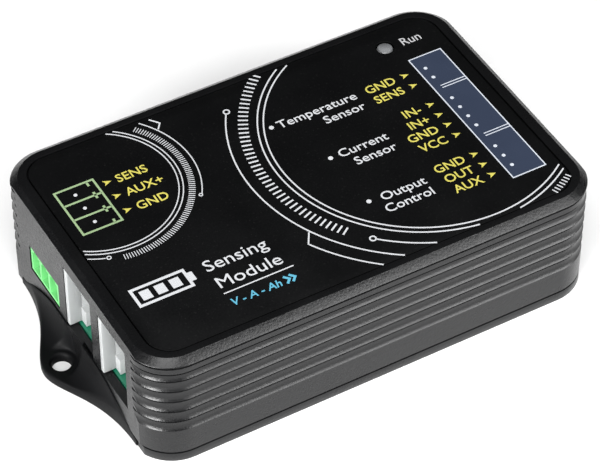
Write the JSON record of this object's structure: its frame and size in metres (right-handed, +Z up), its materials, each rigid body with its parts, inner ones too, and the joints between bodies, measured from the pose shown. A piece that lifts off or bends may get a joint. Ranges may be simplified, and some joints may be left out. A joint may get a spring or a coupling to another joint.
{
  "type": "battery monitor module",
  "caption": "Flat rectangular measuring module in a ribbed two-part plastic case with a printed top label, end connectors over a circuit board, and a screw ear at each end.",
  "frame": {"origin": "centre of the flat underside of the case", "axes": "+X along the case, away from the power header and bus sockets; +Y across it, towards the side where the power header is; +Z up, out of the label"},
  "size_m": [0.0948, 0.054, 0.0227],
  "materials": {
    "case_plastic": "fine spark-eroded texture, moulded ABS",
    "label_film": "printed polycarbonate film, satin",
    "green_plastic": "moulded polyamide",
    "white_plastic": "moulded polyamide",
    "board_laminate": "glass-epoxy laminate with solder mask",
    "chip_plastic": "moulded epoxy",
    "optic_plastic": "clear acrylic",
    "led_plastic": "LED package",
    "tinned_brass": "bright tin plate",
    "gold_plate": "thin gold plate",
    "screw_steel": "zinc-plated steel",
    "can_aluminium": "drawn aluminium can",
    "ferrite": "moulded ferrite composite",
    "fuse_body": "ceramic-filled fuse body"
  },
  "bodies": {
    "root": {"upper_cover": "case_plastic", "base_plate": "case_plastic", "top_label": "label_film", "status_light_pipe": "optic_plastic", "circuit_board": "board_laminate", "case_screw_1": "screw_steel", "case_screw_2": "screw_steel", "case_screw_3": "screw_steel", "case_screw_4": "screw_steel", "power_header_housing": "green_plastic", "power_header_pin_1": "tinned_brass", "power_header_pin_2": "tinned_brass", "power_header_pin_3": "tinned_brass", "bus_socket_1_housing": "white_plastic", "bus_socket_1_contact_1": "gold_plate", "bus_socket_1_contact_2": "gold_plate", "bus_socket_1_contact_3": "gold_plate", "bus_socket_1_contact_4": "gold_plate", "bus_socket_2_housing": "white_plastic", "bus_socket_2_contact_1": "gold_plate", "bus_socket_2_contact_2": "gold_plate", "bus_socket_2_contact_3": "gold_plate", "bus_socket_2_contact_4": "gold_plate", "temperature_header_housing": "white_plastic", "temperature_header_pin_1": "tinned_brass", "temperature_header_pin_2": "tinned_brass", "current_header_housing": "white_plastic", "current_header_pin_1": "tinned_brass", "current_header_pin_2": "tinned_brass", "current_header_pin_3": "tinned_brass", "current_header_pin_4": "tinned_brass", "output_header_housing": "white_plastic", "output_header_pin_1": "tinned_brass", "output_header_pin_2": "tinned_brass", "output_header_pin_3": "tinned_brass", "microcontroller": "chip_plastic", "measuring_converter": "chip_plastic", "current_sense_amplifier": "chip_plastic", "bus_transceiver": "chip_plastic", "signal_isolator": "chip_plastic", "buck_regulator": "chip_plastic", "low_voltage_regulator": "chip_plastic", "output_transistor": "chip_plastic", "reverse_polarity_diode": "chip_plastic", "surge_suppressor": "chip_plastic", "buck_inductor": "ferrite", "input_capacitor": "can_aluminium", "output_capacitor": "can_aluminium", "clock_crystal": "can_aluminium", "input_fuse": "fuse_body", "status_led": "led_plastic"}
  },
  "joints": []
}
